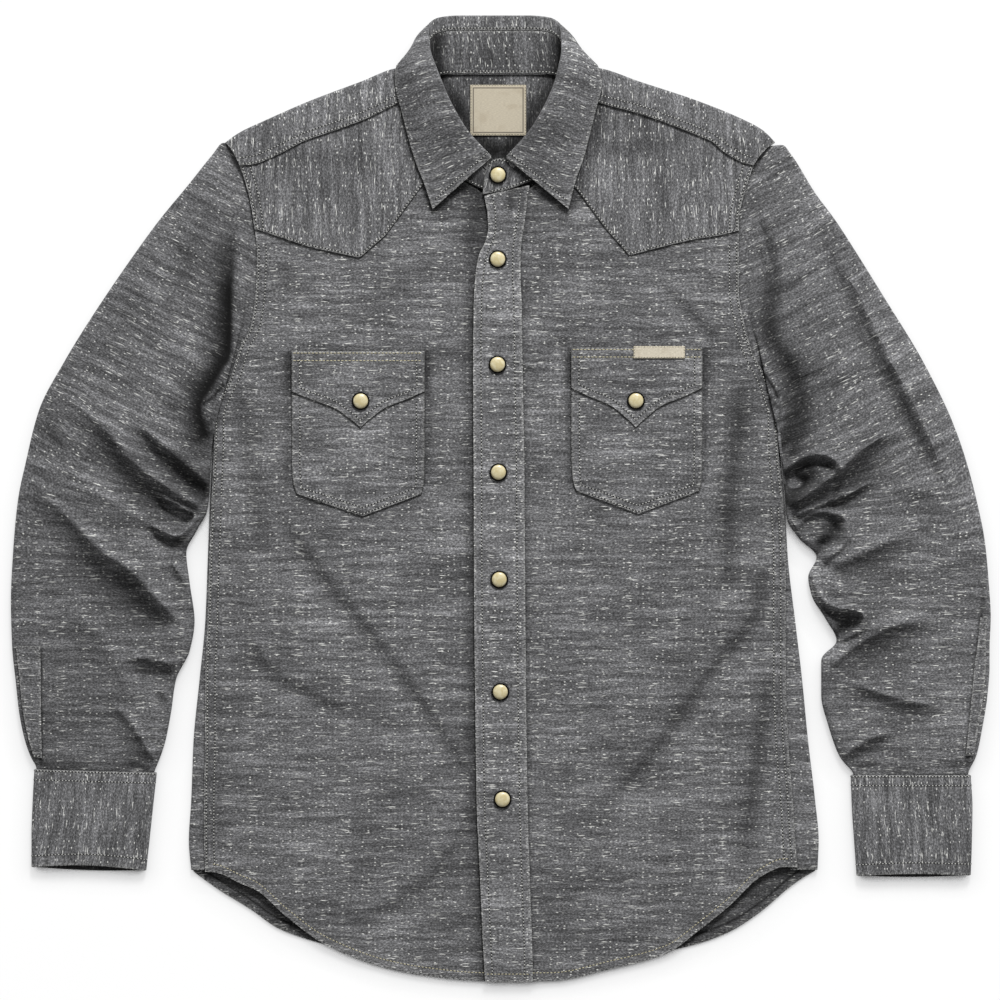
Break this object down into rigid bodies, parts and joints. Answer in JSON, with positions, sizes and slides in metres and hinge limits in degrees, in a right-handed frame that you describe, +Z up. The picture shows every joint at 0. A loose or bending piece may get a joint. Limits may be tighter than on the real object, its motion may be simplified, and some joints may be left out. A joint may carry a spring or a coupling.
{
  "type": "western snap shirt",
  "caption": "Long-sleeved western snap shirt laid flat, with pointed yokes, snap placket, two flap pockets, folded collar and deep cuffs.",
  "frame": {"origin": "middle of the shirt's outline seen from above, on the surface that it lies on", "axes": "+X towards the wearer's left, +Y towards the collar, +Z up out of the surface"},
  "size_m": [0.8316, 0.8208, 0.026],
  "materials": {
    "chambray": "slubby grey chambray, unbleached cotton, matt",
    "label": "cream woven label, blank",
    "bone_cap": "bone-coloured snap cap in a dark metal rim"
  },
  "bodies": {
    "root": {"back": "chambray", "back_yoke": "chambray", "front_right": "chambray", "front_left": "chambray", "front_yoke_right": "chambray", "front_yoke_left": "chambray", "placket": "chambray", "pocket_right": "chambray", "pocket_left": "chambray", "flap_right": "chambray", "flap_left": "chambray", "sleeve_right": "chambray", "sleeve_left": "chambray", "sleeve_placket_right": "chambray", "sleeve_placket_left": "chambray", "cuff_right": "chambray", "cuff_left": "chambray", "collar_leaf": "chambray", "collar_stand": "chambray", "neck_label": "label", "pocket_label": "label", "snap_1": "bone_cap", "snap_2": "bone_cap", "snap_3": "bone_cap", "snap_4": "bone_cap", "snap_5": "bone_cap", "snap_6": "bone_cap", "snap_7": "bone_cap", "flap_snap_right": "bone_cap", "flap_snap_left": "bone_cap"}
  },
  "joints": []
}
